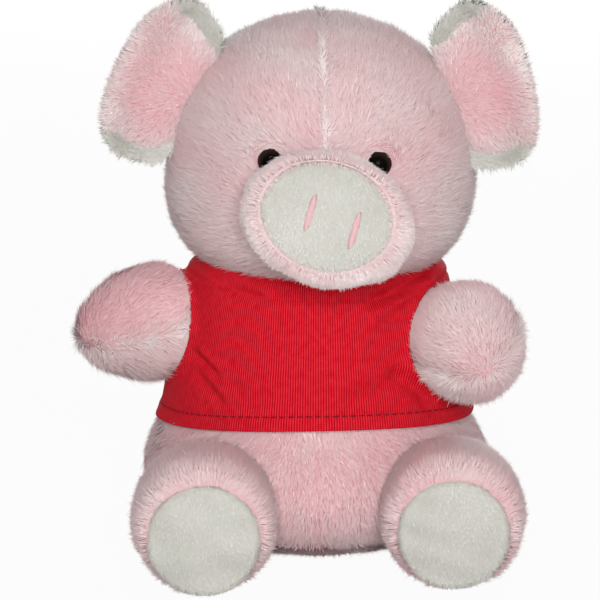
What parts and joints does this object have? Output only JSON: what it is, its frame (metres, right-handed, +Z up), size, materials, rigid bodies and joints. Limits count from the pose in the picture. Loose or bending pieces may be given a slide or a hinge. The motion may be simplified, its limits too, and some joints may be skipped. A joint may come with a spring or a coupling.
{
  "type": "plush pig",
  "caption": "Seated plush pig with a furry body, a flat round snout, folded ears, a curled tail and a sleeveless knitted shirt.",
  "frame": {"origin": "centre of the bounding box at the floor the toy sits on", "axes": "+Z up, the toy faces -Y, its left side is +X"},
  "size_m": [0.1386, 0.135, 0.1663],
  "materials": {
    "long_pile": "pale pink long-pile plush",
    "short_pile": "off-white short-pile plush",
    "knit": "red jersey knit",
    "stuffing": "white polyester wadding",
    "thread": "pink satin-stitch thread",
    "eye": "black gloss plastic",
    "washer": "white plastic"
  },
  "bodies": {
    "body": {"torso_skin_front": "long_pile", "torso_skin_back": "long_pile", "torso_filling": "stuffing", "beanbag": "stuffing", "shirt_front": "knit", "shirt_back": "knit"},
    "head": {"head_skin_right": "long_pile", "head_skin_left": "long_pile", "head_filling": "stuffing", "snout_band": "long_pile", "snout_disc": "short_pile", "snout_filling": "stuffing", "nostril_left": "thread", "nostril_right": "thread", "eye_left": "eye", "eye_washer_left": "washer", "eye_right": "eye", "eye_washer_right": "washer"},
    "ear_left": {"ear_left_front": "long_pile", "ear_left_back": "short_pile"},
    "ear_right": {"ear_right_front": "long_pile", "ear_right_back": "short_pile"},
    "arm_left": {"arm_left_skin_upper": "long_pile", "arm_left_skin_lower": "long_pile", "arm_left_filling": "stuffing"},
    "arm_right": {"arm_right_skin_upper": "long_pile", "arm_right_skin_lower": "long_pile", "arm_right_filling": "stuffing"},
    "leg_left": {"leg_left_skin": "long_pile", "leg_left_sole": "short_pile", "leg_left_filling": "stuffing"},
    "leg_right": {"leg_right_skin": "long_pile", "leg_right_sole": "short_pile", "leg_right_filling": "stuffing"},
    "tail": {"tail": "long_pile"}
  },
  "joints": [
    {"name": "head_turn", "type": "hinge", "parent": "body", "child": "head", "pos_m": [0.00635, -0.00045, 0], "axis": [0, 0, 1], "range_deg": [-20, 20], "stiffness_Nm_per_rad": 0.05},
    {"name": "ear_left_fold", "type": "hinge", "parent": "head", "child": "ear_left", "pos_m": [0.04579, -0.00842, 0.1373], "axis": [0.2755, 0.0072, -0.9613], "range_deg": [-15, 15], "stiffness_Nm_per_rad": 0.02},
    {"name": "ear_right_fold", "type": "hinge", "parent": "head", "child": "ear_right", "pos_m": [-0.03263, -0.01047, 0.1373], "axis": [0.4538, 0.0119, 0.891], "range_deg": [-15, 15], "stiffness_Nm_per_rad": 0.02},
    {"name": "arm_left_raise", "type": "hinge", "parent": "body", "child": "arm_left", "pos_m": [0.04964, -0.02603, 0.0675], "axis": [-0.9781, -0.2079, 0], "range_deg": [-15, 25], "stiffness_Nm_per_rad": 0.04},
    {"name": "arm_right_raise", "type": "hinge", "parent": "body", "child": "arm_right", "pos_m": [-0.04676, -0.00803, 0.0695], "axis": [-0.2924, 0.9563, 0], "range_deg": [-15, 25], "stiffness_Nm_per_rad": 0.04},
    {"name": "leg_left_lift", "type": "hinge", "parent": "body", "child": "leg_left", "pos_m": [0.04515, -0.04068, 0.0205], "axis": [-0.9994, 0.0349, 0], "range_deg": [0, 15], "stiffness_Nm_per_rad": 0.05},
    {"name": "leg_right_lift", "type": "hinge", "parent": "body", "child": "leg_right", "pos_m": [-0.02785, -0.04636, 0.0205], "axis": [-0.9994, -0.0349, 0], "range_deg": [0, 15], "stiffness_Nm_per_rad": 0.05},
    {"name": "tail_wag", "type": "hinge", "parent": "body", "child": "tail", "pos_m": [0.00515, 0.04793, 0.027], "axis": [0, 0, 1], "range_deg": [-20, 20], "stiffness_Nm_per_rad": 0.02}
  ]
}
